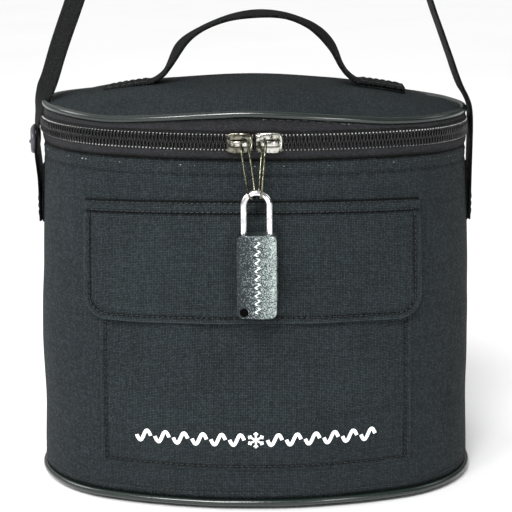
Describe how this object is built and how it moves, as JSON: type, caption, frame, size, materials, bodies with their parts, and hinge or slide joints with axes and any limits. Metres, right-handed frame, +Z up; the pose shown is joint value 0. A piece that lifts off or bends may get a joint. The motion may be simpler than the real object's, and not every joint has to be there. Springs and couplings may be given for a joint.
{
  "type": "insulated lunch cooler bag",
  "caption": "Soft oval insulated lunch bag with a domed zip lid, carry handle, shoulder strap, flap pocket and a small number padlock on its zipper pulls.",
  "frame": {"origin": "centre of the oval base, on the floor", "axes": "+Z up, +X to the right seen from the pocket side, the pocket faces -Y"},
  "size_m": [0.2676, 0.1856, 0.4928],
  "materials": {
    "shell_fabric": "woven polyester, matte",
    "twill_tape": "twill weave, matte",
    "foam": "closed-cell foam",
    "liner": "metallised film, satin",
    "piping": "smooth vinyl, glossy",
    "coil": "nylon coil, semi-gloss",
    "webbing": "ribbed webbing, matte",
    "hook_and_loop": "fuzzy",
    "nickel": "plated, polished",
    "shackle_steel": "polished",
    "hammered_paint": "speckled hammered paint, semi-gloss",
    "dial_plastic": "satin",
    "button_plastic": "satin",
    "adjuster_plastic": "satin gloss"
  },
  "bodies": {
    "bag": {"bottom_panel": "shell_fabric", "outer_shell": "shell_fabric", "bottom_foam": "foam", "foam_wall": "foam", "liner_floor": "liner", "liner_wall": "liner", "mouth_binding": "twill_tape", "bottom_piping": "piping", "zipper_tape_lower": "twill_tape", "zipper_coil_lower": "coil", "zipper_end_tabs": "twill_tape", "hinge_strip": "twill_tape", "strap_anchor_left": "webbing", "strap_anchor_right": "webbing", "pocket_panel": "shell_fabric", "pocket_hem": "shell_fabric", "pocket_loop_patch": "hook_and_loop", "flap_seam": "shell_fabric"},
    "lid": {"lid_band": "twill_tape", "lid_panel": "shell_fabric", "lid_foam": "foam", "lid_liner": "liner", "lid_piping": "piping", "zipper_tape_upper": "twill_tape", "zipper_coil_upper": "coil", "handle_feet": "webbing"},
    "handle": {"carry_handle": "webbing"},
    "flap": {"pocket_flap": "shell_fabric", "flap_hem": "shell_fabric", "flap_hook_patch": "hook_and_loop"},
    "left_slider": {"slider_left": "nickel"},
    "right_slider": {"slider_right": "nickel"},
    "left_pull": {"pull_left": "nickel"},
    "right_pull": {"pull_right": "nickel"},
    "lock_shackle": {"shackle": "shackle_steel"},
    "lock_case": {"lock_front_shell": "hammered_paint", "lock_back_shell": "hammered_paint", "lock_latch": "shackle_steel", "dial_spindle": "shackle_steel"},
    "dial_wheel_1": {"dial_1": "dial_plastic"},
    "dial_wheel_2": {"dial_2": "dial_plastic"},
    "dial_wheel_3": {"dial_3": "dial_plastic"},
    "button": {"reset_button": "button_plastic"},
    "strap": {"shoulder_strap": "webbing"},
    "adjuster": {"strap_adjuster": "adjuster_plastic"}
  },
  "joints": [
    {"name": "lid_open", "type": "hinge", "parent": "bag", "child": "lid", "pos_m": [0, 0.08, 0.217], "axis": [-1, 0, 0], "range_deg": [0, 95]},
    {"name": "handle_swing", "type": "hinge", "parent": "lid", "child": "handle", "pos_m": [0, 0, 0.25], "axis": [1, 0, 0], "range_deg": [-55, 55], "stiffness_Nm_per_rad": 0.03},
    {"name": "flap_lift", "type": "hinge", "parent": "bag", "child": "flap", "pos_m": [0, -0.0901, 0.177], "axis": [-1, 0, 0], "range_deg": [0, 130]},
    {"name": "slider_left_travel", "type": "hinge", "parent": "bag", "child": "left_slider", "pos_m": [0, 0.13904, 0.217], "axis": [0, 0, 1], "range_deg": [-18, 18]},
    {"name": "slider_right_travel", "type": "hinge", "parent": "bag", "child": "right_slider", "pos_m": [0, 0.13904, 0.217], "axis": [0, 0, 1], "range_deg": [-18, 18]},
    {"name": "pull_left_swing", "type": "hinge", "parent": "left_slider", "child": "left_pull", "pos_m": [0, -0.0868, 0.217], "axis": [-1, 0, 0], "range_deg": [0, 117]},
    {"name": "pull_right_swing", "type": "hinge", "parent": "right_slider", "child": "right_pull", "pos_m": [0, -0.0868, 0.217], "axis": [-1, 0, 0], "range_deg": [0, 117]},
    {"name": "padlock_swing", "type": "hinge", "parent": "left_pull", "child": "lock_shackle", "pos_m": [0.001, -0.0966, 0.1912], "axis": [-1, 0, 0], "range_deg": [0, 60]},
    {"name": "shackle_release", "type": "slide", "parent": "lock_shackle", "child": "lock_case", "axis": [0, 0, -1], "range_m": [0, 0.008]},
    {"name": "dial_1_turn", "type": "hinge", "parent": "lock_case", "child": "dial_wheel_1", "pos_m": [0.0088, -0.0966, 0.133], "axis": [0, 0, 1], "continuous": true},
    {"name": "dial_2_turn", "type": "hinge", "parent": "lock_case", "child": "dial_wheel_2", "pos_m": [0.0088, -0.0966, 0.1425], "axis": [0, 0, 1], "continuous": true},
    {"name": "dial_3_turn", "type": "hinge", "parent": "lock_case", "child": "dial_wheel_3", "pos_m": [0.0088, -0.0966, 0.152], "axis": [0, 0, 1], "continuous": true},
    {"name": "reset_press", "type": "slide", "parent": "lock_case", "child": "button", "axis": [0, 1, 0], "range_m": [0, 0.001], "stiffness_N_per_m": 200, "springref_m": -0.002},
    {"name": "strap_swing", "type": "hinge", "parent": "bag", "child": "strap", "pos_m": [0, 0, 0.172], "axis": [-1, 0, 0], "range_deg": [0, 114]},
    {"name": "adjuster_slide", "type": "slide", "parent": "strap", "child": "adjuster", "axis": [0, 0, 1], "range_m": [0, 0.012]}
  ],
  "couplings": [
    {"joint": "pull_left_swing", "follows": "flap_lift", "ratio": 0.9},
    {"joint": "pull_right_swing", "follows": "flap_lift", "ratio": 0.9},
    {"joint": "slider_right_travel", "follows": "slider_left_travel", "ratio": 1},
    {"joint": "strap_swing", "follows": "lid_open", "ratio": 1.2}
  ]
}
